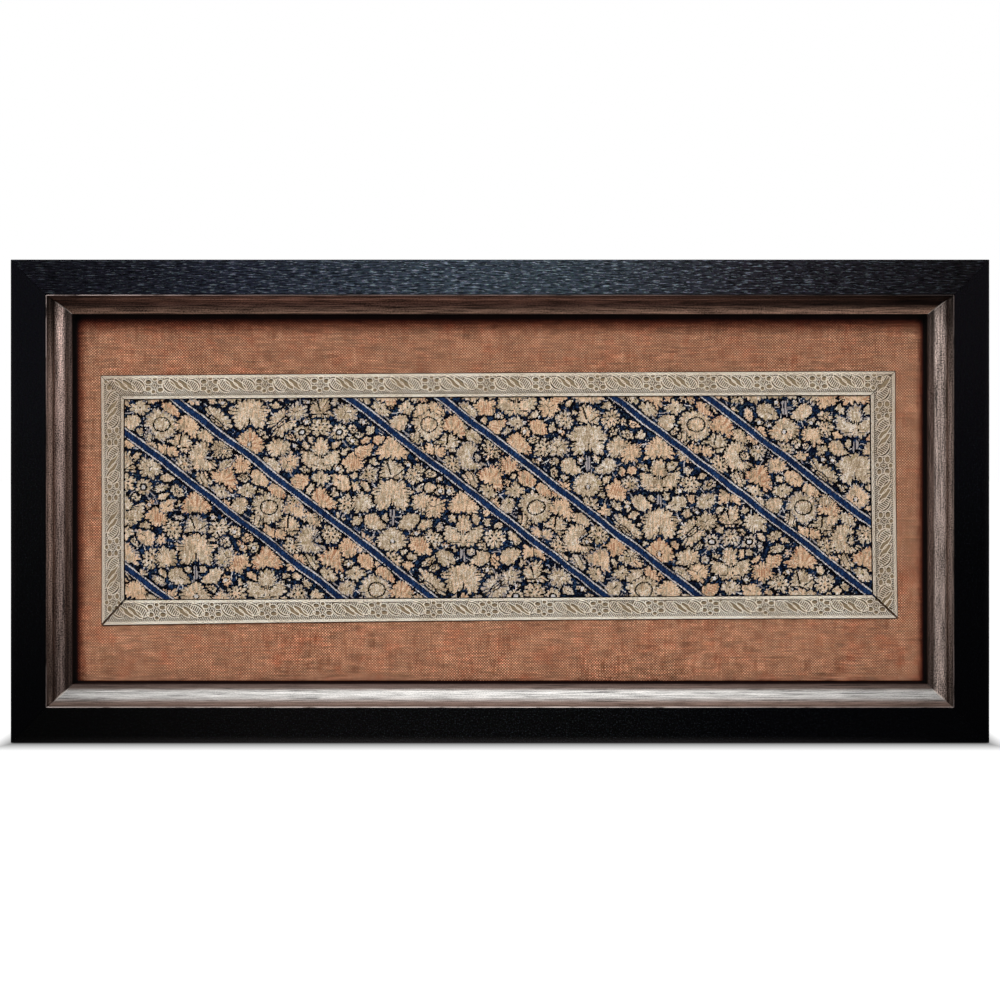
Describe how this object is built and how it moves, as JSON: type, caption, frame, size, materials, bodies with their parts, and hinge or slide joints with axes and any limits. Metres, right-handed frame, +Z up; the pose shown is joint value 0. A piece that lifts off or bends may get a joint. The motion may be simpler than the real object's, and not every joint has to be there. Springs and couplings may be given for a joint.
{
  "type": "framed needlework panel",
  "caption": "Embroidered cloth with diagonal floral bands, edged in metal-thread braid, on terracotta linen in a black wall frame with a bronze slip.",
  "frame": {"origin": "middle of the frame's overall box", "axes": "+X to the right seen from the front, +Y from the front face back to the wall, +Z up"},
  "size_m": [0.761, 0.034, 0.376],
  "materials": {
    "black_stain": "black stained open-grain wood, waxed to a soft sheen",
    "bronze_leaf": "silver-bronze leaf on wood, rubbed through to red-brown along both edges",
    "black_fillet": "matt black paint",
    "backing_board": "plain brown fibreboard",
    "terracotta_linen": "plain-weave slubbed linen",
    "embroidered_cloth": "close silk stitches in tan, peach and ivory on dark blue",
    "metal_braid": "woven metal-thread braid, dulled silver-gilt"
  },
  "bodies": {
    "root": {"rail_top": "black_stain", "rail_right": "black_stain", "rail_bottom": "black_stain", "rail_left": "black_stain", "slip_top": "bronze_leaf", "slip_right": "bronze_leaf", "slip_bottom": "bronze_leaf", "slip_left": "bronze_leaf", "fillet_top": "black_fillet", "fillet_right": "black_fillet", "fillet_bottom": "black_fillet", "fillet_left": "black_fillet", "mount_board": "backing_board", "linen": "terracotta_linen", "needlework": "embroidered_cloth", "braid_top": "metal_braid", "braid_right": "metal_braid", "braid_bottom": "metal_braid", "braid_left": "metal_braid"}
  },
  "joints": []
}
